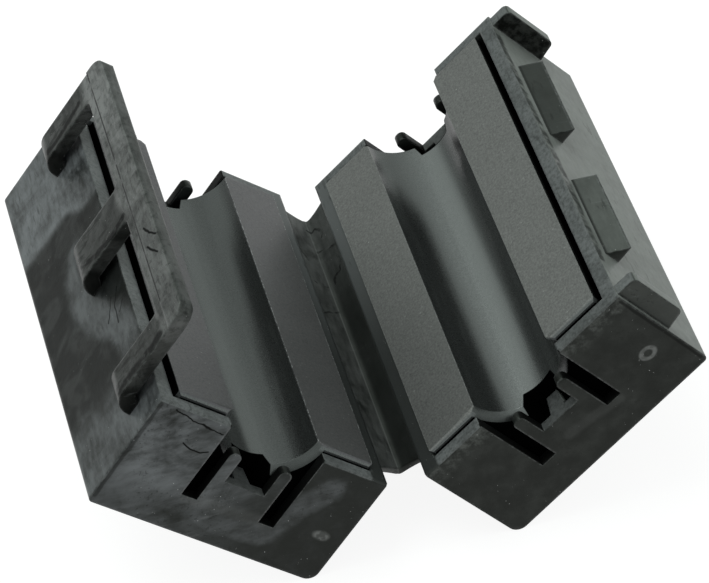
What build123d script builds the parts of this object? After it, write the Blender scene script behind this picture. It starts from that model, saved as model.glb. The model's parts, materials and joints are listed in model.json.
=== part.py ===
"""Open clip-on ferrite bead: a hinged two-half case, a split ferrite core and a snap strap.

Frame: millimetres, +Z up, +Y along the cable. The open case stands on its two hinge-side back
edges, with the hinge line above the origin. Each half is drawn in a tilted frame (s, y, t): s runs
across the half from the hinge line, t stands out of the parting plane. The catch half is on +X,
and what the latch half shares with it is mirrored to -X.
"""
import os
from math import cos, radians, sin, tan
from build123d import *

# Case halves
case_length = 32.6          # along the cable
case_width = 17.9           # hinge-side face to outer face
case_depth = 9.4            # parting plane to back face
opening_angle = 100.0       # degrees between the two parting planes, as it stands open
hinge_reach = 1.38          # hinge line to hinge-side face
rim_drop = 0.35             # rim below the parting plane
side_wall = 1.05
end_wall = 0.85
floor_thickness = 1.1
back_radius = 0.8           # rounding of the long back edge on the hinge side
outer_radius = 0.35         # and of the one on the outer side
rim_bevel = 0.15            # outer edge of each end wall's rim

# Ferrite core halves
bore_radius = 3.38
bore_mouth = 0.5            # countersink at each end of the channel
land_gap = 0.06             # between the two cores' lands when closed
core_end_gap = 0.25         # core to end wall, each end
core_hinge_gap = 0.05       # core to hinge-side wall
core_outer_gap = 0.4        # core to outer wall
core_back_radius = 0.8
core_edge = 0.2             # chamfer round each core's end faces
core_notch_mouth = 3.2      # notch at each end of the channel, width at the end face
core_notch_width = 2.4      # and at its inner end
core_notch_reach = 1.5
core_notch_floor = 5.4      # below the parting plane

# Spring tongues in the end walls
cutout_width = 7.3
tongue_root = 6.5           # bottom of the cut-out, below the parting plane
tongue_top = 2.2            # tips of the horns, below the parting plane
tongue_width = 4.9
tongue_thickness = 0.75
tongue_notch_width = 3.1
tongue_notch_floor = 4.45   # below the parting plane
horn_radius = 0.4
prong_root_width = 1.45
prong_tip_width = 0.9
prong_reach = 2.3           # from the end face to the prong's tip
prong_thickness = 0.6

# Catch teeth and guard lugs on the catch half
tooth_length = 8.25
tooth_pitch = 13.55
tooth_proud = 1.35
tooth_lead = 1.45           # start of the ramp, below the parting plane
tooth_tip = 2.6
tooth_root = 2.75           # catch face at the wall
lug_inset = 0.3             # from the end face
lug_thickness = 0.85
lug_proud = 1.55
lug_top = 0.5
lug_bottom = 5.2
lug_slope = 0.35            # drop of the lug's lower face back to the wall
lug_radius = 0.4

# Snap strap on the latch half
strap_length = 28.6
strap_gap = 0.5             # strap to wall
strap_thickness = 1.05
strap_top = 5.3             # above the parting plane
bar_height = 1.8            # thick upper part of the bar
bar_step = 0.1              # by which it stands out from the legs and the lip
lip_height = 0.68           # thinner lower part, which catches under the teeth
leg_width = 2.45
middle_leg_width = 3.5
foot_depth = 3.5            # foot of the legs, below the parting plane
foot_height = 1.0           # where the foot meets the wall
foot_radius = 1.35
strap_corner = 1.3          # rounded ends of the bar
strap_edge = 0.3            # rounded top edges of the bar
window_corner = 0.4

# Living hinge
web_inset = 1.9             # from each end of the case, where the web meets the halves
web_waist = 0.6             # and further in at the crease
web_drop = 0.45             # top of the web below the parting plane
web_thickness = 0.4

# Derived sizes
tilt = radians(90 - opening_angle / 2)
outer_face = hinge_reach + case_width
core_inner = hinge_reach + side_wall + core_hinge_gap
core_width = case_width - 2 * side_wall - core_hinge_gap - core_outer_gap
core_length = case_length - 2 * (end_wall + core_end_gap)
core_top = -land_gap / 2
core_bottom = floor_thickness - case_depth
bore_axis = core_inner + core_width / 2
window_length = (strap_length - middle_leg_width) / 2 - leg_width
window_centre = (middle_leg_width + window_length) / 2
bar_bottom = strap_top - bar_height
window_top = bar_bottom - lip_height
strap_inner = outer_face + strap_gap
strap_outer = strap_inner + strap_thickness
leg_outer = strap_outer - bar_step
web_side = case_length / 2 - web_inset
web_crease = web_side - web_waist
web_overlap = (web_drop + web_thickness) / tan(radians(opening_angle / 2))

# The hinge line's height puts the lowest point of the rounded back edge at zero.
edge_s = hinge_reach + back_radius
edge_t = back_radius - case_depth
hinge_height = back_radius - edge_s * sin(tilt) - edge_t * cos(tilt)

# Working planes: half is the catch half's parting plane, section its cross-section seen along the
# cable, near_end its near end face, and wall its outer face.
half = Plane(
    origin=(0, 0, hinge_height),
    x_dir=(cos(tilt), 0, sin(tilt)),
    z_dir=(-sin(tilt), 0, cos(tilt)),
)
section = Plane(origin=half.origin, x_dir=half.x_dir, z_dir=(0, -1, 0))
near_end = section.offset(case_length / 2)
wall = Plane(origin=half.from_local_coords((outer_face, 0, 0)), x_dir=(0, 1, 0), z_dir=half.x_dir)

os.makedirs("parts", exist_ok=True)

# Spring tongue of the near end: two horns beside a notch, and a prong that reaches under the core
with BuildPart() as tongue:
    with BuildSketch(near_end) as tongue_face:
        with Locations((bore_axis, -(tongue_root + tongue_top) / 2)):
            Rectangle(tongue_width, tongue_root - tongue_top)
        with Locations((bore_axis, -tongue_notch_floor)):
            Rectangle(
                tongue_notch_width,
                tongue_notch_floor,
                align=(Align.CENTER, Align.MIN),
                mode=Mode.SUBTRACT,
            )
        fillet(tongue_face.vertices().group_by(Axis.Y)[-1], horn_radius)
    extrude(amount=-tongue_thickness)
    with BuildSketch(half.offset(-tongue_notch_floor)):
        with BuildLine():
            Polyline(
                (bore_axis - prong_root_width / 2, -case_length / 2),
                (bore_axis + prong_root_width / 2, -case_length / 2),
                (bore_axis + prong_tip_width / 2, prong_reach - case_length / 2),
                (bore_axis - prong_tip_width / 2, prong_reach - case_length / 2),
                close=True,
            )
        make_face()
    extrude(amount=-prong_thickness)

# Tray shared by both halves: rounded box, core pocket, end cut-outs and tongues
with BuildPart() as tray:
    with BuildSketch(half.offset(-case_depth)):
        with Locations((hinge_reach + case_width / 2, 0)):
            Rectangle(case_width, case_length)
    extrude(amount=case_depth - rim_drop)
    back_face = tray.faces().sort_by(Axis(half.origin, half.z_dir))[0]
    long_edges = back_face.edges().filter_by(Axis.Y).sort_by(Axis(half.origin, half.x_dir))
    fillet(long_edges[0], back_radius)
    fillet(long_edges[-1], outer_radius)
    with BuildSketch(half.offset(core_bottom)):
        with Locations((hinge_reach + case_width / 2, 0)):
            Rectangle(case_width - 2 * side_wall, case_length - 2 * end_wall)
    extrude(amount=case_depth, mode=Mode.SUBTRACT)
    with BuildSketch(half.offset(-tongue_root)):
        with Locations((bore_axis, 0)):
            Rectangle(cutout_width, case_length)
    extrude(amount=case_depth, mode=Mode.SUBTRACT)
    with BuildSketch(wall) as bevels:
        with BuildLine():
            Polyline(
                (-case_length / 2, -rim_drop),
                (rim_bevel - case_length / 2, -rim_drop),
                (-case_length / 2, -rim_drop - rim_bevel),
                close=True,
            )
        make_face()
        mirror(about=Plane.YZ)
    extrude(amount=-case_width, mode=Mode.SUBTRACT)
    add(tongue.part)
    mirror(tongue.part, about=Plane.XZ)

# Catch half: the tray with two catch teeth and a guard lug at each end
with BuildPart() as case_catch_half:
    add(tray.part)
    with BuildSketch(section):
        with BuildLine():
            Polyline(
                (outer_face - side_wall / 2, -tooth_lead),
                (outer_face, -tooth_lead),
                (outer_face + tooth_proud, -tooth_tip),
                (outer_face, -tooth_root),
                (outer_face - side_wall / 2, -tooth_root),
                close=True,
            )
        make_face()
    extrude(amount=(tooth_pitch + tooth_length) / 2, both=True)
    with BuildSketch(wall):
        with Locations((0, -(tooth_lead + tooth_root) / 2)):
            Rectangle(tooth_pitch - tooth_length, case_depth)
    extrude(amount=tooth_proud, mode=Mode.SUBTRACT)
    with BuildSketch(near_end.offset(-lug_inset)) as lug_face:
        with BuildLine():
            Polyline(
                (outer_face - side_wall / 2, -lug_top),
                (outer_face + lug_proud, -lug_top),
                (outer_face + lug_proud, -lug_bottom),
                (outer_face, -lug_bottom - lug_slope),
                (outer_face - side_wall / 2, -lug_bottom - lug_slope),
                close=True,
            )
        make_face()
        fillet(lug_face.vertices().group_by(Axis.X)[-1], lug_radius)
    lug = extrude(amount=-lug_thickness)
    mirror(lug, about=Plane.XZ)
case_catch_half.part.label = "case_catch_half"
export_step(case_catch_half.part, "parts/case_catch_half.step")

# Latch half: the tray alone, mirrored
with BuildPart() as case_latch_half:
    mirror(tray.part, about=Plane.YZ)
case_latch_half.part.label = "case_latch_half"
export_step(case_latch_half.part, "parts/case_latch_half.step")

# Core half: a block with a half-round channel and a notch at each end for the prongs
with BuildPart() as ferrite_core_catch:
    with BuildSketch(section) as core_face:
        with Locations((bore_axis, (core_top + core_bottom) / 2)):
            Rectangle(core_width, core_top - core_bottom)
        fillet(core_face.vertices().group_by(Axis.Y)[0], core_back_radius)
        with Locations((bore_axis, 0)):
            Circle(bore_radius, mode=Mode.SUBTRACT)
    extrude(amount=core_length / 2, both=True)
    chamfer(ferrite_core_catch.faces().filter_by(Axis.Y).edges(), core_edge)
    with BuildSketch(half):
        with BuildLine():
            Polyline(
                (bore_axis, -core_length / 2),
                (bore_axis + bore_radius + bore_mouth, -core_length / 2),
                (bore_axis + bore_radius, bore_mouth - core_length / 2),
                (bore_axis, bore_mouth - core_length / 2),
                close=True,
            )
        make_face()
        mirror(about=Plane.XZ)
    revolve(axis=Axis(half.from_local_coords((bore_axis, 0, 0)), (0, 1, 0)), mode=Mode.SUBTRACT)
    with BuildSketch(half.offset(-core_notch_floor)) as core_notches:
        with BuildLine():
            Polyline(
                (bore_axis - core_notch_mouth / 2, -core_length / 2),
                (bore_axis + core_notch_mouth / 2, -core_length / 2),
                (bore_axis + core_notch_width / 2, core_notch_reach - core_length / 2),
                (bore_axis - core_notch_width / 2, core_notch_reach - core_length / 2),
                close=True,
            )
        make_face()
        mirror(about=Plane.XZ)
    extrude(amount=core_notch_floor, mode=Mode.SUBTRACT)
ferrite_core_catch.part.label = "ferrite_core_catch"
export_step(ferrite_core_catch.part, "parts/ferrite_core_catch.step")

with BuildPart() as ferrite_core_latch:
    mirror(ferrite_core_catch.part, about=Plane.YZ)
ferrite_core_latch.part.label = "ferrite_core_latch"
export_step(ferrite_core_latch.part, "parts/ferrite_core_latch.step")

# Snap strap: three legs and a stepped bar, drawn on the catch side, cut to two windows, then mirrored
with BuildPart() as strap_blank:
    with BuildSketch(section) as strap_face:
        with BuildLine():
            Polyline(
                (strap_inner, strap_top),
                (strap_outer, strap_top),
                (strap_outer, bar_bottom),
                (leg_outer, bar_bottom),
                (leg_outer, -foot_depth),
                (outer_face, -foot_depth),
                (outer_face, foot_height - foot_depth),
                (strap_inner, foot_height + strap_gap - foot_depth),
                close=True,
            )
        make_face()
        fillet(strap_face.vertices().group_by(Axis.Y)[-1], strap_edge)
        fillet(strap_face.vertices().group_by(Axis.Y)[0].sort_by(Axis.X)[-1], foot_radius)
    extrude(amount=strap_length / 2, both=True)
    with BuildSketch(wall) as strap_outline:
        with Locations((0, (strap_top - foot_depth) / 2)):
            Rectangle(strap_length, strap_top + foot_depth)
        fillet(strap_outline.vertices().group_by(Axis.Y)[-1], strap_corner)
    extrude(amount=strap_gap + strap_thickness, mode=Mode.INTERSECT)
    with BuildSketch(wall) as windows:
        with Locations((-window_centre, window_top), (window_centre, window_top)):
            Rectangle(
                window_length, window_top + case_depth, align=(Align.CENTER, Align.MAX)
            )
        fillet(windows.vertices().group_by(Axis.Y)[-1], window_corner)
    extrude(amount=strap_gap + strap_thickness, mode=Mode.SUBTRACT)
with BuildPart() as latch_strap:
    mirror(strap_blank.part, about=Plane.YZ)
latch_strap.part.label = "latch_strap"
export_step(latch_strap.part, "parts/latch_strap.step")

# Living hinge: one thin web, bent along the crease and waisted there, trimmed at the middle plane
with BuildPart() as living_hinge:
    with BuildSketch(half.offset(-web_drop)):
        with BuildLine():
            Polyline(
                (hinge_reach, -web_side),
                (hinge_reach, web_side),
                (-web_overlap, web_crease),
                (-web_overlap, -web_crease),
                close=True,
            )
        make_face()
    extrude(amount=-web_thickness)
    split(bisect_by=Plane.YZ)
    mirror(about=Plane.YZ)
living_hinge.part.label = "living_hinge"
export_step(living_hinge.part, "parts/living_hinge.step")
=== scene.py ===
"""Looks of the open clip-on ferrite bead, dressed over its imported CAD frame.

Metres, in the CAD's own frame. The surface patterns are laid out in each half's tilted frame, in
millimetres: s runs across the half from the hinge line, y along the cable and t out of the parting
plane. Both halves share it, because they mirror each other about x = 0.
"""

import json
from math import cos, radians, sin, tan
from types import SimpleNamespace

import bmesh
import bpy
from mathutils import Matrix, Vector


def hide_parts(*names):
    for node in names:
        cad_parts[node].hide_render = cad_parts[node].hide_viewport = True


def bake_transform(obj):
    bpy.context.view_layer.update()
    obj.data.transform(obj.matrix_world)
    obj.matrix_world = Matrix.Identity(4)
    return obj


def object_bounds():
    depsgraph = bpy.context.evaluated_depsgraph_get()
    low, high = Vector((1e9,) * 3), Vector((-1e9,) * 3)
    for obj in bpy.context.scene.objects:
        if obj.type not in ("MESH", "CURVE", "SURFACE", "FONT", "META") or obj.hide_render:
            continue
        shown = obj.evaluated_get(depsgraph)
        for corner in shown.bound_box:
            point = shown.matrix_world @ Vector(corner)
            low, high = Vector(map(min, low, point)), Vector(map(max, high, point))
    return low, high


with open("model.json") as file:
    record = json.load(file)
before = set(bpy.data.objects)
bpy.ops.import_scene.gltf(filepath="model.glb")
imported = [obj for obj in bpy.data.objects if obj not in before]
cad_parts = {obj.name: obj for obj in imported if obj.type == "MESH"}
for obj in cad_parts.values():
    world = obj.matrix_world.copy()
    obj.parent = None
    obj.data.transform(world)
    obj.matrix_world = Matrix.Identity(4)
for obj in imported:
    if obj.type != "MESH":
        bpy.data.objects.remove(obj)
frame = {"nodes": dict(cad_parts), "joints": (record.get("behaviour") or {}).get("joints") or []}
cad_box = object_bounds()

MM = 0.001

# Facts taken from the frame
joints = {joint["name"]: joint for joint in frame["joints"]}
hinge_height = joints["case_hinge"]["pos_m"][2]
tilt = radians(90 - joints["case_hinge"]["range_deg"][1] / 2)
across_half = (cos(tilt), 0, sin(tilt))         # directions in the half at +x
out_of_half = (-sin(tilt), 0, cos(tilt))


def half_frame(point):
    """A point's (s, y, t) in its half's tilted frame, in millimetres."""
    across = abs(point.x)
    up = point.z - hinge_height
    s = across * cos(tilt) + up * sin(tilt)
    t = up * cos(tilt) - across * sin(tilt)
    return Vector((s, point.y, t)) / MM


def node_corners(node):
    """The mesh points of a CAD node, in the half's frame."""
    return [half_frame(vertex.co) for vertex in frame["nodes"][node].data.vertices]


def reach(node):
    """Lowest and highest (s, y, t) of a CAD node."""
    corners = node_corners(node)
    low = Vector([min(corner[axis] for corner in corners) for axis in range(3)])
    high = Vector([max(corner[axis] for corner in corners) for axis in range(3)])
    return low, high


case_high = reach("case_latch_half")[1]
core_low, core_high = reach("ferrite_core_latch")
web_low, web_high = reach("living_hinge")
web_waist = min(abs(corner.y) for corner in node_corners("living_hinge"))
outer_wall = case_high.x
case_end = case_high.y      # end faces, from the middle of the case
rim = case_high.z
core_end = core_high.y
land = core_high.z
bore_axis = (core_low.x + core_high.x) / 2

# Camera, measured from the photograph in the CAD's frame
camera_place = Vector((-32.916, -211.322, 185.370)) * MM
camera_right = Vector((0.96839, -0.23136, -0.09320))
camera_down = Vector((-0.21794, -0.60310, -0.76731))
camera_forward = Vector((0.12132, 0.76337, -0.63446))
camera_lens = 206.476       # for the sensor width below
camera_sensor = 36.0

# Surface sizes in millimetres
edge_round = 0.07           # rounding of the moulded edges
core_round = 0.05           # rounding of the ground ferrite edges
round_steps = 2
round_angle = radians(32)   # edges that turn by more are rounded
weld_gap = 0.001            # points closer than this are one
nylon_grain = 0.1           # moulded grain, the slow swell under it, and their depth
nylon_swell = 1.4
nylon_relief = 0.02
ferrite_grain = 0.16        # sintered grain and its depth
ferrite_relief = 0.015
wear_reach = 0.25           # how far rubbing reaches in from an edge
chip_reach = 0.12           # the same for chips on the ferrite
shelter_reach = 0.8         # how close a wall keeps a corner from rubbing
hinge_side = 2.7            # nearer to the hinge line edges aren't worn, and rims only faintly
end_wall = 0.95             # end walls with their cut-outs
cut_half = 3.7
cut_floor = -6.55
tongue_level = -5.0         # the tongue's top stands above this
prong_low = -4.7            # the prong's top lies between these
prong_high = -4.25
prong_reach = 2.35          # from the end face inwards
notch_half = 1.65           # notches in the core's ends
notch_reach = 1.55
notch_flare = 0.4
teeth_end = 12.5            # from the middle of the case
lug_start = 14.5
soft = 0.05                 # how softly such bounds begin

# Cosines between which a face begins to count as looking a way, and an open face as an edge
facing = (0.7, 0.9)
leaning = (0.5, 0.65)       # takes in bevelled rims
turning = (0.99, 0.86)
ray_count = 6               # rays that feel for edges and corners

# Hinge web, in millimetres
web_across = 32             # divisions across the crease and along it
web_along = 48
crease_round = 0.16
bead_height = 0.03          # fine bead along the crease
bead_aside = 0.12
bead_half = 0.12
waist_curve = 1.5           # how the web widens from its waist
sharp_edge = radians(40)


def grey(level, warmth=0.0, green=0.0):
    """A near-neutral colour: positive warmth leans to brown, negative to blue."""
    return (level * (1 + warmth), level * (1 + green), level * (1 - warmth), 1.0)


# Colours
nylon_dark = grey(0.004, green=0.08)
nylon_light = grey(0.009, green=0.08)
# dull patches, and painted shade on sides out of the light
nylon_dull_and_shade = grey(0.004, green=0.1)
nylon_reflection = (0.93, 1.0, 0.9, 1.0)
haze_level = 0.17
rim_grey = grey(0.17, -0.03)
edge_grey = grey(0.18, -0.01)
scuff_grey = grey(0.12, -0.02)
# painted light on the prongs' tops
prong_highlight = grey(0.07, -0.02)
# dark scuffs, and painted shade on the walls of the end cut-outs
scuff_and_shade_black = grey(0.004)
# dark marks, and painted shadow lines
mark_and_shade_black = grey(0.003)
mark_white = grey(0.24, green=0.01)
speck_white = grey(0.4)
land_dark = grey(0.02)
land_light = grey(0.062)
bore_dark = grey(0.001)
bore_light = grey(0.005, -0.02, 0.06)
bore_drawn = grey(0.01, -0.01, 0.05)
bore_reflection = (0.97, 1.0, 1.0, 1.0)
# painted highlight on the bore's end chamfers
chamfer_highlight = grey(0.07, -0.03)
# painted shade on the core's end faces, notches and outer side
recess_shade_black = grey(0.001)
paper_dark = grey(0.13)
paper_light = grey(0.17)
studio_tint = (0.91, 1.0, 0.955)

# Specular levels
nylon_shine = 0.2
end_shine_loss = 0.05       # end faces shine less by this
bore_shine = 0.5


# Node building

def new_material(name):
    """An empty node material with its shader."""
    material = bpy.data.materials.new(name)
    material.use_nodes = True
    return material, material.node_tree, material.node_tree.nodes["Principled BSDF"]


def add(tree, kind, inputs=None, **settings):
    """Adds a shader node. Inputs are values or sockets by name or number, settings its properties."""
    made = tree.nodes.new("ShaderNode" + kind)
    for name, value in settings.items():
        setattr(made, name, value)
    for key, value in (inputs or {}).items():
        if isinstance(value, bpy.types.NodeSocket):
            tree.links.new(value, made.inputs[key])
        else:
            made.inputs[key].default_value = value
    return made


def calc(tree, operation, first, second=0.0):
    """One arithmetic step."""
    return add(tree, "Math", {0: first, 1: second}, operation=operation).outputs[0]


def vector_calc(tree, operation, first, second):
    """One step with vectors."""
    return add(tree, "VectorMath", {0: first, 1: second}, operation=operation).outputs[0]


def dot(tree, first, direction):
    """How far a vector reaches along a direction."""
    return add(tree, "VectorMath", {0: first, 1: direction}, operation="DOT_PRODUCT").outputs["Value"]


def times(tree, *shares):
    """The product of shares."""
    product = shares[0]
    for share in shares[1:]:
        product = calc(tree, "MULTIPLY", product, share)
    return product


def most(tree, *shares):
    """The largest of shares."""
    largest = shares[0]
    for share in shares[1:]:
        largest = calc(tree, "MAXIMUM", largest, share)
    return largest


def scaled(tree, share, gain, base):
    """A share times a gain, on top of a base."""
    return calc(tree, "ADD", times(tree, share, gain), base)


def rest(tree, share):
    """What a share leaves of 1."""
    return calc(tree, "SUBTRACT", 1.0, share)


def absolute(tree, value):
    """A value without its sign."""
    return calc(tree, "ABSOLUTE", value)


def between(tree, value, low, high):
    """0 below low and 1 above high, with a smooth step between; low may be the larger."""
    step = add(
        tree,
        "MapRange",
        {"Value": value, "From Min": low, "From Max": high},
        interpolation_type="SMOOTHSTEP",
    )
    return step.outputs["Result"]


def choose(tree, share, low, high):
    """A value that goes from low to high with a share from 0 to 1."""
    return add(tree, "Mix", {0: share, 2: low, 3: high}, data_type="FLOAT").outputs[0]


def lay(tree, under, over, share):
    """Lays one colour over another by a share from 0 to 1."""
    return add(tree, "Mix", {0: share, 6: under, 7: over}, data_type="RGBA").outputs[2]


def noise(tree, place, size, detail=2.0, rough=0.5, twist=0.0):
    """Cloudy noise from 0 to 1 with features of about that size, in the place's own unit."""
    cloud = add(
        tree,
        "TexNoise",
        {"Vector": place, "Scale": 1 / size, "Detail": detail, "Roughness": rough, "Distortion": twist},
    )
    return cloud.outputs["Fac"]


def patches(tree, place, size, low, high, **character):
    """Patches of cloudy noise: 0 where it is below low and 1 where it is above high."""
    return between(tree, noise(tree, place, size, **character), low, high)


def stretch(tree, place, spread, turn=(0.0, 0.0, 0.0)):
    """The same place turned, then stretched, so that noise on it draws out into streaks."""
    turned = add(tree, "Mapping", {"Vector": place, "Rotation": turn, "Scale": spread})
    return turned.outputs["Vector"]


def connect(tree, shader, sockets):
    """Links sockets to a shader's inputs by name."""
    for name, socket in sockets.items():
        tree.links.new(socket, shader.inputs[name])


def half_spot(tree):
    """Where a point of a CAD node lies, in millimetres, and shares that are 1 on faces looking that way."""
    coords = add(tree, "TexCoord").outputs
    point = add(tree, "SeparateXYZ", {0: coords["Object"]}).outputs
    normal = add(tree, "SeparateXYZ", {0: coords["Normal"]}).outputs
    across = absolute(tree, point["X"])
    up = calc(tree, "SUBTRACT", point["Z"], hinge_height)
    flat = add(tree, "CombineXYZ", {0: across, 1: point["Y"], 2: up}).outputs[0]
    flat = vector_calc(tree, "MULTIPLY", flat, (1 / MM,) * 3)
    sideways = times(tree, normal["X"], calc(tree, "SIGN", point["X"]))
    looks = add(tree, "CombineXYZ", {0: sideways, 2: normal["Z"]}).outputs[0]
    outwards = dot(tree, looks, out_of_half)
    s = dot(tree, flat, across_half)
    y = dot(tree, flat, (0, 1, 0))
    return SimpleNamespace(
        s=s,
        y=y,
        t=dot(tree, flat, out_of_half),
        aside=absolute(tree, calc(tree, "SUBTRACT", s, bore_axis)),     # from the bore's axis
        along=absolute(tree, y),                                        # from the middle of the case
        place=vector_calc(tree, "MULTIPLY", coords["Object"], (1 / MM,) * 3),
        ends=between(tree, absolute(tree, normal["Y"]), *facing),
        near=between(tree, times(tree, normal["Y"], -1.0), *facing),    # the end towards the camera
        outer=between(tree, dot(tree, looks, across_half), *facing),
        top=between(tree, outwards, *facing),
        upward=between(tree, outwards, *leaning),
    )


def web_spot(tree):
    """The same for the hinge web, laid out flat: x across the crease and y along it."""
    coords = add(tree, "Attribute", attribute_name="flat").outputs["Vector"]
    point = add(tree, "SeparateXYZ", {0: coords}).outputs
    return SimpleNamespace(
        s=absolute(tree, point["X"]),
        x=point["X"],
        y=point["Y"],
        t=web_high.z,
        aside=bore_axis,
        along=0.0,
        place=coords,
        ends=0.0,
        near=0.0,
        outer=0.0,
        top=0.0,
        upward=0.0,
    )


def rounded_edges(tree, radius):
    """The normal of a copy with rounded edges, and a share that is 1 on edges and 0 on open faces."""
    rounded = add(tree, "Bevel", {"Radius": radius * MM}, samples=ray_count).outputs["Normal"]
    flat = add(tree, "NewGeometry").outputs["Normal"]
    return rounded, between(tree, dot(tree, rounded, flat), *turning)


def openness(tree, distance):
    """1 where the surface is open and 0 deep in corners."""
    reached = {"Distance": distance * MM}
    return add(tree, "AmbientOcclusion", reached, samples=ray_count, only_local=True).outputs["AO"]


# Single marks, laid out on two coordinates in millimetres

def stroke(tree, across, along, points, width, wander=0.25):
    """1 on a thin scratch through points, wandering a little."""
    flat = add(tree, "CombineXYZ", {0: across, 1: along}).outputs[0]
    drift = add(tree, "TexNoise", {"Vector": flat, "Scale": 1.2}).outputs["Color"]
    drift = vector_calc(tree, "SUBTRACT", drift, (0.5, 0.5, 0.5))
    drift = vector_calc(tree, "MULTIPLY", drift, (wander, wander, 0))
    flat = vector_calc(tree, "ADD", flat, drift)
    lines = []
    for start, end in zip(points, points[1:]):
        run = Vector(end) - Vector(start)
        offset = vector_calc(tree, "SUBTRACT", flat, (*start, 0))
        ahead = dot(tree, offset, (*(run / run.length_squared), 0))
        held = add(tree, "Clamp", {"Value": ahead}).outputs["Result"]
        nearest = add(tree, "VectorMath", {0: (*run, 0), "Scale": held}, operation="SCALE").outputs[0]
        gap = add(tree, "VectorMath", {0: offset, 1: nearest}, operation="DISTANCE").outputs["Value"]
        lines.append(between(tree, gap, width, width / 3))
    return most(tree, *lines)


def strokes(tree, across, along, paths):
    """A scratch for each path, given as its width, its wander and its points."""
    return [stroke(tree, across, along, points, width, wander) for width, wander, *points in paths]


def oval(tree, across, along, centre, radii):
    """Distance from the middle of an oval, 1 on its outline."""
    flat = add(tree, "CombineXYZ", {0: across, 1: along}).outputs[0]
    offset = vector_calc(tree, "SUBTRACT", flat, (*centre, 0))
    even = vector_calc(tree, "MULTIPLY", offset, (1 / radii[0], 1 / radii[1], 0))
    return add(tree, "VectorMath", {0: even}, operation="LENGTH").outputs["Value"]


# Nylon

def mottled(tree, at, even):
    """Clouds of fine wear, brushed along the faces; even is the share that is the same all over."""
    lengthwise = stretch(tree, at.place, (1.0, 0.3, 1.0), (0.3, 0.25, 0.2))
    crosswise = stretch(tree, at.place, (0.35, 1.0, 1.0), (0.0, 0.5, 0.0))
    on_sides = noise(tree, lengthwise, 0.4, detail=5.0, rough=0.7)
    on_ends = noise(tree, crosswise, 0.6, detail=5.0, rough=0.6)
    brushed = choose(tree, at.ends, on_sides, on_ends)
    cloud = noise(tree, at.place, 4.0, detail=6.0, rough=0.62, twist=0.7)
    mottle = calc(tree, "ADD", times(tree, brushed, 0.4), times(tree, cloud, 0.6))
    return scaled(tree, between(tree, mottle, 0.28, 0.68), 1 - even, even)


def rubbed_rims(tree, at, away, grained, rubbing):
    """How far the rims are rubbed: in patches, most at the far end and faint along the hinge."""
    above = between(tree, at.t, rim - 0.3, rim - 0.18)
    below = between(tree, at.t, rim + 0.5, rim + 0.3)
    on_rim = times(tree, at.upward, above, below)
    patchy = scaled(tree, patches(tree, at.place, 2.2, 0.25, 0.6, detail=3.0), 0.35, 0.5)
    far = between(tree, at.y, case_end - 1.1, case_end - 0.9)
    rubbed = most(tree, times(tree, patchy, away), times(tree, far, 0.8))
    along_hinge = scaled(tree, between(tree, at.y, -6.0, 13.0), 0.4, 0.1)
    by_hinge = times(tree, rest(tree, away), along_hinge)
    return times(tree, on_rim, most(tree, times(tree, rubbed, grained, rubbing), by_hinge))


def scuffed(tree, at, colour, haze):
    """Lays light and dark scuffs over a colour, in two directions."""
    worked = patches(tree, at.place, 3.5, 0.48, 0.6)
    slanting = stretch(tree, at.place, (0.2, 1.8, 1.8), (0.4, 0.6, 1.1))
    light = patches(tree, slanting, 0.4, 0.6, 0.7, detail=3.0)
    hazed = between(tree, haze, 0.0, 0.3)
    colour = lay(tree, colour, scuff_grey, times(tree, light, worked, hazed, 0.35))
    lengthwise = stretch(tree, at.place, (1.6, 0.25, 1.6), (0.9, 0.2, 0.3))
    dark = patches(tree, lengthwise, 0.4, 0.58, 0.68, detail=3.0)
    return lay(tree, colour, scuff_and_shade_black, times(tree, dark, worked, 0.45))


def cut_wall_shade(tree, at):
    """Painted shade: 1 on the walls of the end cut-outs, which are painted black, but for the tops of
    tongue and prong.
    """
    tops = times(tree, at.top, between(tree, at.t, tongue_level - 0.2, tongue_level + 0.2))
    return times(
        tree,
        between(tree, at.along, case_end - end_wall - soft, case_end - end_wall),
        between(tree, at.aside, cut_half + soft, cut_half),
        between(tree, at.t, cut_floor - soft, cut_floor),
        rest(tree, at.ends),
        rest(tree, tops),
    )


def lit_prong_tops(tree, at):
    """Painted light: 1 on the prongs' tops, which face up into the light."""
    return times(
        tree,
        at.top,
        between(tree, at.t, prong_low - 2 * soft, prong_low + 2 * soft),
        between(tree, at.t, prong_high + soft, prong_high - soft),
        between(tree, at.along, case_end - prong_reach - soft, case_end - prong_reach + soft),
    )


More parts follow.
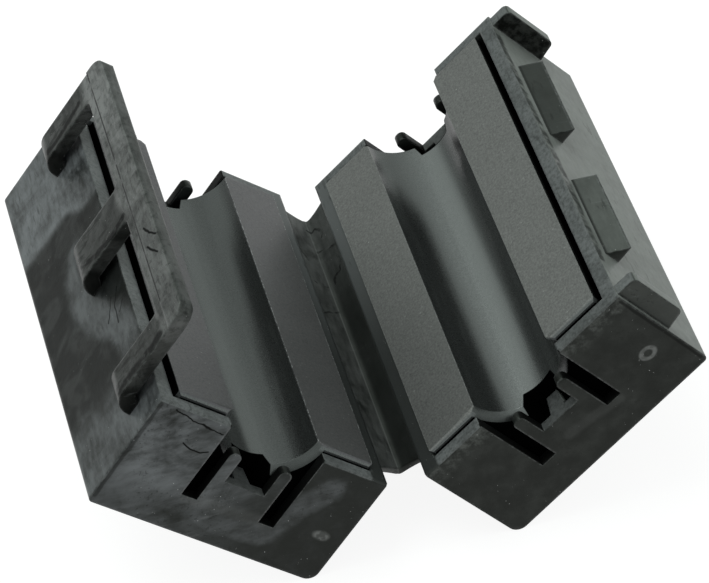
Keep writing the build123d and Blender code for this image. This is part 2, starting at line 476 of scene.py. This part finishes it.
def nylon(
    name,
    spot_of,
    haze_of,
    dull_and_shade_of,
    marks_and_shade_of,
    light_marks_of=None,
    tint=(0.0, 0.0),
    even=0.0,
    rubbing=0.0,
):
    """Black moulded nylon: satin, hazed in clouds, rubbed grey on rims and edges, scuffed and grained, with
    painted shade in its cut-outs, on shadowed sides and along edges and crevices, and painted light on the
    prongs' tops.
    """
    material, tree, shader = new_material(name)
    at = spot_of(tree)
    haze = times(tree, haze_of(tree, at), mottled(tree, at, even))
    dullness_and_shade = dull_and_shade_of(tree, at)
    dark = most(tree, *marks_and_shade_of(tree, at))
    cut = cut_wall_shade(tree, at)
    away = between(tree, at.s, hinge_side - 0.3, hinge_side)
    speckle = patches(tree, at.place, 0.28, 0.32, 0.62, detail=5.0, rough=0.75)
    grained = scaled(tree, speckle, 0.55, 0.45)
    rounded, edges = rounded_edges(tree, wear_reach)
    rough_edges = patches(tree, at.place, 0.5, 0.35, 0.7, detail=4.0, rough=0.7)
    worn = times(tree, edges, openness(tree, shelter_reach), away, rough_edges)
    specks = patches(tree, at.place, 0.13, 0.795, 0.815, detail=1.0)

    colour = lay(tree, nylon_dark, nylon_light, noise(tree, at.place, 2.5, detail=4.0))
    colour = lay(tree, colour, grey(haze_level, *tint), haze)
    # dull patches on the latch half; painted shade on the far lug, the strap's feet and the web's catch
    # side
    colour = lay(tree, colour, nylon_dull_and_shade, dullness_and_shade)
    colour = lay(tree, colour, rim_grey, rubbed_rims(tree, at, away, grained, rubbing))
    colour = lay(tree, colour, edge_grey, times(tree, worn, rubbing, 0.9))
    colour = scuffed(tree, at, colour, haze)
    if light_marks_of:
        light = most(tree, *light_marks_of(tree, at))
        colour = lay(tree, colour, mark_white, times(tree, light, 0.8))
    # dark marks, and painted shadow lines along edges, a step and crevices
    colour = lay(tree, colour, mark_and_shade_black, dark)
    colour = lay(tree, colour, speck_white, times(tree, specks, 0.8))
    # painted shade: the walls of the end cut-outs are painted black
    colour = lay(tree, colour, scuff_and_shade_black, cut)
    # painted light on the prongs' tops
    colour = lay(tree, colour, prong_highlight, times(tree, lit_prong_tops(tree, at), grained))

    roughness = scaled(tree, noise(tree, at.place, 0.5, detail=4.0), 0.16, 0.26)
    roughness = calc(tree, "ADD", roughness, times(tree, haze, 0.12))
    matt = most(tree, times(tree, dullness_and_shade, 0.7), times(tree, dark, 0.8), times(tree, cut, 0.7))
    loss = most(tree, times(tree, matt, nylon_shine), times(tree, at.ends, end_shine_loss))
    fine = noise(tree, at.place, nylon_grain)
    swell = times(tree, noise(tree, at.place, nylon_swell, detail=3.0), 2.0)
    relief = {
        "Height": calc(tree, "ADD", fine, swell),
        "Normal": rounded,
        "Strength": 0.35,
        "Distance": nylon_relief * MM,
    }
    shader.inputs["Specular IOR Level"].default_value = nylon_shine
    shader.inputs["Specular Tint"].default_value = nylon_reflection
    connect(
        tree,
        shader,
        {
            "Base Color": colour,
            "Roughness": roughness,
            "Specular IOR Level": calc(tree, "SUBTRACT", nylon_shine, loss),
            "Normal": add(tree, "Bump", relief).outputs["Normal"],
        },
    )
    return material


# Ferrite

def chipped_edges(tree, at):
    """1 on chips of the ferrite's edges, most along the hinge side of the bore."""
    ragged = patches(tree, at.place, 0.22, 0.46, 0.58, detail=3.0, rough=0.75)
    upper = between(tree, at.t, -1.0, -0.3)
    inner = between(tree, at.s, bore_axis - 2.6, bore_axis - 3.0)
    edges = rounded_edges(tree, chip_reach)[1]
    return times(tree, edges, ragged, upper, scaled(tree, inner, 0.75, 0.25))


def core_recess_shade(tree, at, pale_side):
    """Painted shade: 1 on the core's end faces, its notches and its outer side below pale_side, which lie
    out of the light and are painted black.
    """
    inward = calc(tree, "SUBTRACT", core_end, at.along)
    flare = calc(tree, "ADD", at.aside, times(tree, inward, notch_flare / notch_reach))
    notches = times(
        tree,
        between(tree, flare, notch_half + soft, notch_half),
        between(tree, inward, notch_reach + soft, notch_reach),
    )
    ends = times(tree, at.ends, between(tree, at.t, land - 0.3, land - 0.4))
    side = times(
        tree,
        at.outer,
        between(tree, at.s, core_high.x - 3 * soft, core_high.x - 2 * soft),
        between(tree, at.t, land - pale_side, land - pale_side - 2 * soft),
    )
    return most(tree, ends, notches, side)


def bore_level(tree, at, shade):
    """The bore's specular level, cut on its two flanks as painted shade, most of all at the far end."""
    beside = calc(tree, "SUBTRACT", at.s, bore_axis)
    far = scaled(tree, between(tree, at.y, 4.0, 14.0), 0.5, 1.0)
    outer_flank = times(tree, between(tree, beside, 0.1, 1.7), far)
    inner_flank = between(tree, beside, -1.7, -3.2)
    loss = times(tree, most(tree, outer_flank, inner_flank), bore_shine * shade)
    return calc(tree, "SUBTRACT", bore_shine, loss)


def ferrite(name, tint, chipping, gloss, land_shine, shade, pale_side):
    """Sintered ferrite: grey by its gloss, finely grained, greener in the bore, chipped on its edges, with
    painted shade in its recesses and a painted highlight on the bore's end chamfers.
    """
    material, tree, shader = new_material(name)
    at = half_spot(tree)
    grains = noise(tree, at.place, ferrite_grain, detail=3.0, rough=0.8)
    cloud = noise(tree, at.place, 3.0, detail=4.0)
    tone = calc(tree, "ADD", times(tree, grains, 0.55), times(tree, cloud, 0.45))
    on_land = between(tree, at.t, land - 0.12, land - 0.04)
    shaded_recesses = core_recess_shade(tree, at, pale_side)
    drawn = patches(tree, stretch(tree, at.place, (1.0, 0.08, 1.0)), 0.35, 0.5, 0.75, detail=3.0)
    at_end = between(tree, at.along, core_end - 0.24, core_end - 0.18)
    lit_chamfers = times(tree, at_end, between(tree, at.t, -0.6, -0.4))
    specks = patches(tree, at.place, 0.16, 0.785, 0.81, detail=1.0)

    bore_colour = lay(tree, bore_dark, bore_light, tone)
    bore_colour = lay(tree, bore_colour, bore_drawn, drawn)
    land_colour = lay(tree, land_dark, land_light, tone)
    colour = lay(tree, bore_colour, land_colour, on_land)
    colour = lay(tree, colour, speck_white, times(tree, chipped_edges(tree, at), chipping))
    # painted highlight on the bore's end chamfers, which face up into the light
    colour = lay(tree, colour, chamfer_highlight, times(tree, lit_chamfers, 0.8))
    colour = lay(tree, colour, speck_white, times(tree, specks, on_land, 0.7))
    # painted shade: end faces, notches and outer side painted black
    colour = lay(tree, colour, recess_shade_black, shaded_recesses)

    roughness = calc(tree, "ADD", times(tree, grains, 0.14), scaled(tree, on_land, 0.1, 0.21))
    level = choose(tree, on_land, bore_level(tree, at, shade), land_shine)
    coarse = scaled(tree, on_land, 1.9, 0.5)
    uneven = scaled(tree, calc(tree, "SUBTRACT", grains, 0.5), coarse, 1.0)
    relief = {
        "Height": grains,
        "Strength": scaled(tree, on_land, 0.35, 0.1),
        "Distance": ferrite_relief * MM,
    }
    shader.inputs["IOR"].default_value = gloss
    shader.inputs["Specular IOR Level"].default_value = land_shine
    connect(
        tree,
        shader,
        {
            "Base Color": colour,
            "Roughness": roughness,
            "Specular IOR Level": times(tree, level, uneven, rest(tree, shaded_recesses)),
            "Specular Tint": lay(tree, bore_reflection, (*tint, 1.0), on_land),
            "Normal": add(tree, "Bump", relief).outputs["Normal"],
        },
    )
    return material


# Where each piece is hazed, dulled, marked and painted with shade

def end_clouds(tree, at):
    """Faint clouds on an end wall."""
    return times(tree, patches(tree, at.place, 1.8, 0.35, 0.75, detail=6.0, rough=0.6), 0.09)


def slanted(tree, at):
    """Distance along the latch half's outer wall, to a bound that slants back below the rim."""
    return calc(tree, "ADD", at.y, times(tree, between(tree, at.t, -4.0, -2.0), 1.4))


def foot_smear(tree, at):
    """1 on the smear that the outer wall has round the middle leg's foot."""
    path = [(3.4, -3.8), (2.0, -4.5), (-0.2, -4.8), (-2.3, -4.5), (-4.2, -3.5), (-6.6, -1.9), (-9.5, -1.4)]
    return stroke(tree, at.y, at.t, path, 1.8, 0.8)


def latch_haze(tree, at):
    """The outer wall is hazed at its ends and round a foot, the end walls outwards and in a band."""
    far = between(tree, slanted(tree, at), 7.3, 8.4)
    near = times(tree, between(tree, at.y, -8.0, -13.0), 0.75)
    foot = times(tree, foot_smear(tree, at), 0.6)
    wall = times(tree, calc(tree, "ADD", most(tree, far, near, foot), 0.1), at.outer, 0.8)
    high = scaled(tree, between(tree, at.t, -9.0, -5.0), 0.5, 0.45)
    outwards = times(tree, between(tree, at.s, 5.0, 16.0), high, 0.85)
    path = [(14.0, -7.2), (10.5, -7.7), (6.8, -7.3), (5.9, -4.5), (4.6, -2.2)]
    band = times(tree, stroke(tree, at.s, at.t, path, 1.3, 0.6), 0.4)
    ends = times(tree, most(tree, outwards, end_clouds(tree, at), band), at.ends)
    return calc(tree, "ADD", wall, ends)


def latch_dull(tree, at):
    """The middle of the outer wall is dark, in blotches, but for the smear round the foot."""
    middle = times(tree, between(tree, slanted(tree, at), 8.2, 7.2), between(tree, at.y, -12.0, -9.0))
    blotches = patches(tree, at.place, 2.5, 0.38, 0.55, detail=4.0, twist=0.6)
    clear = rest(tree, foot_smear(tree, at))
    return times(tree, middle, clear, at.outer, scaled(tree, blotches, 0.5, 0.2))


def latch_marks_and_shade(tree, at):
    """Scratches on the near end wall with a painted shadow line along its outer edge, and scuffed lines by
    the middle leg.
    """
    scratches = [
        (0.09, 0.1, (16.05, -2.84), (15.35, -3.07), (14.56, -3.09), (14.12, -2.81)),
        (0.09, 0.6, (18.0, -0.75), (15.9, -1.06), (14.0, -1.25)),
    ]
    scuffs = [
        (0.1, 0.25, (-3.4, -1.2), (-4.6, -1.9), (-6.3, -2.0)),
        (0.09, 0.25, (-3.6, -2.0), (-5.4, -2.9)),
        (0.08, 0.25, (-4.9, -1.0), (-5.6, -1.6)),
    ]
    # painted shadow line along the end wall's outer edge
    edge = times(tree, stroke(tree, at.s, at.t, [(19.1, -0.7), (19.05, -8.8)], 0.22, 0.2), 0.6)
    on_end = [*strokes(tree, at.s, at.t, scratches), edge]
    on_wall = strokes(tree, at.y, at.t, scuffs)
    return [
        *[times(tree, mark, at.near) for mark in on_end],
        *[times(tree, mark, at.outer, 0.8) for mark in on_wall],
    ]


def latch_light_marks(tree, at):
    """An oblong gate mark and the whitened root of the tongue on the near end wall."""
    broken = patches(tree, at.place, 0.3, 0.4, 0.65, detail=3.0)
    gate = between(tree, oval(tree, at.s, at.t, (3.1, -5.8), (0.75, 0.45)), 1.1, 0.5)
    gate = times(tree, gate, scaled(tree, broken, 0.4, 0.3))
    root = stroke(tree, at.s, at.t, [(13.3, -6.6), (10.5, -6.5), (7.6, -6.35)], 0.7)
    return [times(tree, gate, at.near, 0.75), times(tree, root, at.near, 0.1)]


def catch_haze_and_sheen(tree, at):
    """The outer wall is hazed, partly as painted reflection, the teeth's ramps and the lugs less, and the
    end walls under their rims.
    """
    ragged = patches(tree, at.place, 0.7, 0.36, 0.76, detail=6.0, rough=0.7)
    under_rim = times(tree, between(tree, at.t, rim - 2.0, rim - 0.3), ragged, 0.5)
    ends = times(tree, most(tree, under_rim, end_clouds(tree, at)), at.ends)
    proud = between(tree, at.s, outer_wall + 0.05, outer_wall + 0.2)
    ramp_haze = scaled(tree, between(tree, at.y, 6.0, -6.0), 0.38, 0.14)
    on_teeth = between(tree, at.along, teeth_end + 0.5, teeth_end)
    ramps = times(tree, proud, on_teeth, rest(tree, at.ends), ramp_haze)
    lugs = times(tree, proud, between(tree, at.along, lug_start - 0.5, lug_start), 0.22)
    # haze over the whole outer wall, partly a painted reflection of the bright surroundings
    wall = times(tree, at.outer, 1.1)
    return most(tree, ends, ramps, lugs, wall)


def catch_lug_shade(tree, at):
    """Painted shade: the far lug's inner face, its shadow side, is dark, in blotches."""
    blotches = patches(tree, at.place, 0.6, 0.35, 0.6, detail=5.0, rough=0.65)
    outside = between(tree, at.s, outer_wall - 0.5, outer_wall - 0.3)
    far = between(tree, at.y, 12.0, 14.0)
    return times(tree, at.near, outside, far, scaled(tree, blotches, 0.6, 0.4))


def catch_marks_and_shade(tree, at):
    """A painted shadow line along the outer edge of the near end wall, and a dark ragged line on the outer
    wall by its rim.
    """
    # painted shadow line along the end wall's outer edge
    edge = stroke(tree, at.s, at.t, [(19.05, -0.9), (19.05, -8.9)], 0.16, 0.1)
    broken = patches(tree, at.place, 0.9, 0.3, 0.6, detail=5.0, rough=0.65)
    # a dark ragged line along the rim
    dark_smudge = stroke(tree, at.y, at.t, [(14.5, -0.6), (6.0, -0.7), (-3.0, -0.8), (-12.0, -0.6)], 0.5, 0.4)
    return [times(tree, edge, at.near, 0.7), times(tree, dark_smudge, broken, at.outer, 0.8)]


def catch_light_marks(tree, at):
    """A ring-shaped gate mark and the tongue's whitened root on the near end wall, a smear on the outer."""
    broken = patches(tree, at.place, 0.35, 0.32, 0.6, detail=3.0)
    away = calc(tree, "SUBTRACT", oval(tree, at.s, at.t, (17.2, -5.6), (0.5, 0.42)), 1.0)
    gate = times(tree, between(tree, absolute(tree, away), 0.5, 0.15), scaled(tree, broken, 0.4, 0.6))
    root = stroke(tree, at.s, at.t, [(9.44, -6.12), (11.6, -6.45), (13.4, -6.78)], 0.6)
    smear = stroke(tree, at.y, at.t, [(13.4, -0.8), (10.5, -1.15), (3.0, -1.25)], 0.3, 0.4)
    return [
        times(tree, gate, at.near, 0.55),
        times(tree, root, at.near, 0.07),
        times(tree, smear, broken, at.outer, 0.5),
    ]


def strap_haze(tree, at):
    """The strap is hazed on its bar, most at the far end, and on its legs."""
    bar = between(tree, at.t, 2.0, 3.2)
    along = scaled(tree, between(tree, at.y, -12.0, 12.0), 0.35, 0.45)
    upper = rest(tree, times(tree, at.upward, 0.75))
    legs = scaled(tree, between(tree, at.y, 6.0, 11.0), 0.22, 0.32)
    return calc(tree, "ADD", times(tree, bar, along, upper), legs)


def strap_foot_shade(tree, at):
    """Painted shade: the legs' sides are dark, most at their feet, and the legs' outer faces a little
    darker towards their feet.
    """
    sides = times(tree, at.ends, scaled(tree, between(tree, at.t, -1.0, -2.0), 0.7, 0.2))
    legs = times(tree, at.outer, between(tree, at.t, 2.9, 1.6), 0.1)
    return calc(tree, "ADD", sides, legs)


def strap_marks_and_shade(tree, at):
    """Two short cuts across the bar, painted shadow under the step above its lip and down crevices on the
    legs, dark blotches lower on the legs, and dark smudges.
    """
    cuts = [
        (0.12, 0.25, (-4.5, 4.1), (-5.4, 4.5), (-6.1, 5.0)),
        (0.12, 0.25, (-6.3, 3.95), (-7.7, 4.75)),
    ]
    # painted shadow down the crevices of the legs
    crevice_shadow_paths = [
        (0.5, 0.4, (-13.77, 2.6), (-13.95, 1.34), (-13.8, -0.9), (-13.9, -2.4)),
        (0.42, 0.4, (-1.2, 2.6), (-1.5, 1.4), (-1.35, -0.8), (-0.7, -2.3)),
        (0.42, 0.4, (12.8, 1.8), (12.5, 0.36), (12.3, -1.1), (12.4, -2.3)),
    ]
    # painted shadow under the step above the lip
    step_shadow = stroke(tree, at.y, at.t, [(-11.5, 3.53), (14.2, 3.53)], 0.14, 0.06)
    broken = patches(tree, at.place, 1.5, 0.32, 0.48, detail=3.0)
    smudged = patches(tree, at.place, 0.7, 0.3, 0.5, detail=4.0)
    upright = stretch(tree, at.place, (1.0, 2.0, 0.5))
    blotches = patches(tree, upright, 1.0, 0.47, 0.6, detail=5.0, rough=0.6)
    dark_smudge = patches(tree, at.place, 0.45, 0.5, 0.66, detail=5.0, rough=0.7)
    return [
        *[times(tree, cut, at.outer) for cut in strokes(tree, at.y, at.t, cuts)],
        *[times(tree, crevice_shadow, smudged, at.outer, 0.85) for crevice_shadow in strokes(tree, at.y, at.t, crevice_shadow_paths)],
        times(tree, step_shadow, broken, at.outer, 0.85),
        times(tree, between(tree, at.t, 2.4, 0.0), blotches, 0.55),
        times(tree, dark_smudge, 0.4),
    ]


def web_haze(tree, at):
    """The web is paler at its far end and on the latch side."""
    latch_side = times(tree, between(tree, at.x, 0.3, -0.6), 0.26)
    far = times(tree, between(tree, at.y, 2.0, 14.0), 0.24)
    return calc(tree, "ADD", calc(tree, "ADD", latch_side, far), 0.08)


def web_side_shade(tree, at):
    """Painted shade: the web's catch side, facing away from the light, is dark but for its far end."""
    return times(tree, between(tree, at.x, 0.0, 0.5), between(tree, at.y, 8.0, 2.0), 0.5)


def web_dark_marks(tree, at):
    """Short broken scuffs on the hinge web."""
    paths = [
        [(0.1, 12.3), (0.5, 12.5), (0.95, 11.8), (0.8, 11.2)],
        [(0.0, 10.1), (0.85, 9.94), (1.64, 9.39), (2.05, 8.61)],
        [(1.34, 8.51), (1.54, 7.68), (1.25, 6.97), (0.62, 6.71), (0.5, 6.02)],
        [(-0.27, 12.71), (0.03, 12.32)],
        [(-1.36, 6.18), (-1.09, 5.71), (-0.24, 6.06)],
        [(-1.52, 9.64), (-1.16, 8.75)],
        [(-1.5, 2.6), (-0.8, 2.9), (-0.1, 3.1)],
    ]
    scuffs = [stroke(tree, at.x, at.y, path, width=0.13, wander=0.5) for path in paths]
    broken = patches(tree, at.place, 0.8, 0.38, 0.6, detail=3.0)
    return [times(tree, scuff, broken, 0.75) for scuff in scuffs]


def web_light_marks(tree, at):
    """The whitened crease and two specks."""
    specks = [
        (0.12, 0.0, (2.2, 4.7), (2.3, 4.7)),
        (0.12, 0.0, (-1.85, 3.0), (-1.75, 3.0)),
    ]
    from_crease = absolute(tree, calc(tree, "ADD", at.x, 0.1))
    crease = times(tree, between(tree, from_crease, 0.09, 0.02), 0.2)
    return [crease, *strokes(tree, at.x, at.y, specks)]


# Pieces

def dress(node, material, radius):
    """Gives a CAD node one material and rounds its sharp edges slightly, so that they catch the light."""
    piece = frame["nodes"][node]
    piece.data.materials.clear()
    piece.data.materials.append(material)
    weld = piece.modifiers.new("weld", "WELD")
    weld.merge_threshold = weld_gap * MM
    bevel = piece.modifiers.new("edges", "BEVEL")
    bevel.width = radius * MM
    bevel.segments = round_steps
    bevel.limit_method = "ANGLE"
    bevel.angle_limit = round_angle
    normals = piece.modifiers.new("normals", "WEIGHTED_NORMAL")
    normals.keep_sharp = False


def web_sheet(mesh, flat, level):
    """Rows of points over one side of the hinge web, at a level of t; flat takes their places laid out."""
    side = web_high.x * cos(tilt) - level * sin(tilt)
    rows = []
    for row in range(web_across + 1):
        share = 2 * row / web_across - 1
        x = share * side
        fold = ((x * tan(tilt)) ** 2 + crease_round**2) ** 0.5
        bead = bead_height * max(0.0, 1 - abs(x + bead_aside) / bead_half)
        z = hinge_height / MM + level / cos(tilt) + fold + bead
        length = web_waist + (web_high.y - web_waist) * abs(share) ** waist_curve
        rows.append([])
        for step in range(web_along + 1):
            y = length * (2 * step / web_along - 1)
            vert = mesh.verts.new(Vector((x, y, z)) * MM)
            vert[flat] = (x / cos(tilt), y, level - web_high.z)
            rows[-1].append(vert)
    return rows


def close_sheets(mesh, top, under):
    """Faces over two sheets and round their four sides."""
    for row in range(web_across):
        after = row + 1
        for step in range(web_along):
            ahead = step + 1
            mesh.faces.new((top[row][step], top[after][step], top[after][ahead], top[row][ahead]))
            mesh.faces.new((under[row][step], under[row][ahead], under[after][ahead], under[after][step]))
        mesh.faces.new((top[row][0], under[row][0], under[after][0], top[after][0]))
        mesh.faces.new((top[row][-1], top[after][-1], under[after][-1], under[row][-1]))
    for step in range(web_along):
        ahead = step + 1
        mesh.faces.new((top[0][step], top[0][ahead], under[0][ahead], under[0][step]))
        mesh.faces.new((top[-1][step], under[-1][step], under[-1][ahead], top[-1][ahead]))


def make_web(material):
    """The hinge web as one thin bent sheet: waisted, rounded at the crease, with a fine bead along it."""
    mesh = bmesh.new()
    flat = mesh.verts.layers.float_vector.new("flat")
    top = web_sheet(mesh, flat, web_high.z)
    under = web_sheet(mesh, flat, web_low.z)
    close_sheets(mesh, top, under)
    mesh.normal_update()
    for face in mesh.faces:
        face.smooth = True
    for edge in mesh.edges:
        edge.smooth = edge.calc_face_angle() < sharp_edge
    data = bpy.data.meshes.new("hinge_web")
    mesh.to_mesh(data)
    mesh.free()
    data.materials.append(material)
    web = bpy.data.objects.new("hinge_web", data)
    bpy.context.scene.collection.objects.link(web)
    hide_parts("living_hinge")
    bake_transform(web)


latch_nylon = nylon(
    "nylon_latch_half",
    half_spot,
    latch_haze,
    latch_dull,
    latch_marks_and_shade,
    latch_light_marks,
    tint=(-0.05, -0.01),
    rubbing=0.9,
)
catch_nylon = nylon(
    "nylon_catch_half",
    half_spot,
    catch_haze_and_sheen,
    catch_lug_shade,
    catch_marks_and_shade,
    catch_light_marks,
    tint=(0.0, 0.05),
    even=0.6,
    rubbing=0.85,
)
strap_nylon = nylon("nylon_strap", half_spot, strap_haze, strap_foot_shade, strap_marks_and_shade, rubbing=0.7)
web_nylon = nylon("nylon_web", web_spot, web_haze, web_side_shade, web_dark_marks, web_light_marks)
latch_ferrite = ferrite(
    "ferrite_latch",
    tint=(1.0, 0.92, 1.0),
    chipping=0.95,
    gloss=2.1,
    land_shine=0.25,
    shade=0.2,
    pale_side=0.0,
)
catch_ferrite = ferrite(
    "ferrite_catch",
    tint=(1.0, 0.99, 0.96),
    chipping=0.4,
    gloss=2.8,
    land_shine=0.35,
    shade=0.6,
    pale_side=0.3,
)

dress("case_latch_half", latch_nylon, edge_round)
dress("case_catch_half", catch_nylon, edge_round)
dress("latch_strap", strap_nylon, edge_round)
dress("ferrite_core_latch", latch_ferrite, core_round)
dress("ferrite_core_catch", catch_ferrite, core_round)
make_web(web_nylon)


# Stage

def paper(name, grain, lit_within, faded_beyond, glow, faded_glow):
    """White light table under the part, brightest in the middle, with a faint tooth."""
    material, tree, shader = new_material(name)
    coords = add(tree, "TexCoord").outputs["Object"]
    tooth = noise(tree, coords, grain)
    away = add(tree, "VectorMath", {0: coords}, operation="LENGTH").outputs["Value"]
    fade = scaled(tree, between(tree, away, faded_beyond, lit_within), glow - faded_glow, faded_glow)
    shader.inputs["Roughness"].default_value = 0.9
    shader.inputs["Emission Color"].default_value = (1, 1, 1, 1)
    connect(
        tree,
        shader,
        {"Base Color": lay(tree, paper_dark, paper_light, tooth), "Emission Strength": fade},
    )
    return material


def make_floor(side, material):
    """A plain pale floor."""
    mesh = bpy.data.meshes.new("floor")
    half = side / 2
    corners = [(-half, -half, 0), (half, -half, 0), (half, half, 0), (-half, half, 0)]
    mesh.from_pydata(corners, [], [(0, 1, 2, 3)])
    mesh.materials.append(material)
    floor = bpy.data.objects.new("floor", mesh)
    bpy.context.scene.collection.objects.link(floor)


def make_light(name, place, target, side, power):
    """A square soft light at a place, turned to a target."""
    light = bpy.data.lights.new(name, "AREA")
    light.size = side
    light.energy = power
    light.color = studio_tint
    lamp = bpy.data.objects.new(name, light)
    lamp.location = place
    lamp.rotation_euler = (Vector(target) - Vector(place)).to_track_quat("-Z", "Y").to_euler()
    bpy.context.scene.collection.objects.link(lamp)


def make_world(level, sides, gap):
    """Soft white light from all round, stronger from both sides, with a dark gap low on the left behind."""
    world = bpy.data.worlds.new("surround")
    world.use_nodes = True
    tree = world.node_tree
    backdrop = tree.nodes["Background"]
    backdrop.inputs["Color"].default_value = (*studio_tint, 1)
    ahead = add(tree, "SeparateXYZ", {0: add(tree, "TexCoord").outputs["Generated"]}).outputs
    aside = between(tree, absolute(tree, ahead["X"]), 0.0, 0.5)
    low = times(
        tree,
        between(tree, ahead["X"], 0.0, -0.4),
        between(tree, ahead["Y"], 0.0, 0.4),
        between(tree, ahead["Z"], 0.35, 0.05),
    )
    strength = times(tree, scaled(tree, aside, sides, level), rest(tree, times(tree, low, gap)))
    connect(tree, backdrop, {"Strength": strength})
    bpy.context.scene.world = world


def make_camera():
    """The camera at the photograph's place."""
    data = bpy.data.cameras.new("camera")
    data.lens = camera_lens
    data.sensor_width = camera_sensor
    data.clip_start = 0.01
    data.clip_end = 10
    camera = bpy.data.objects.new("camera", data)
    axes = Matrix((camera_right, -camera_down, -camera_forward)).transposed()
    camera.matrix_world = Matrix.Translation(camera_place) @ axes.to_4x4()
    bpy.context.scene.collection.objects.link(camera)
    bpy.context.scene.camera = camera


middle = (cad_box[0] + cad_box[1]) / 2
light_table = paper("paper", grain=0.02, lit_within=0.06, faded_beyond=0.16, glow=0.9, faded_glow=0.35)
make_floor(2.0, light_table)
make_light("key", place=(-0.10, 0.06, 0.40), target=middle, side=0.30, power=0.9)
make_world(level=0.5, sides=0.2, gap=0.75)
make_camera()
bpy.context.scene.view_settings.view_transform = "Standard"
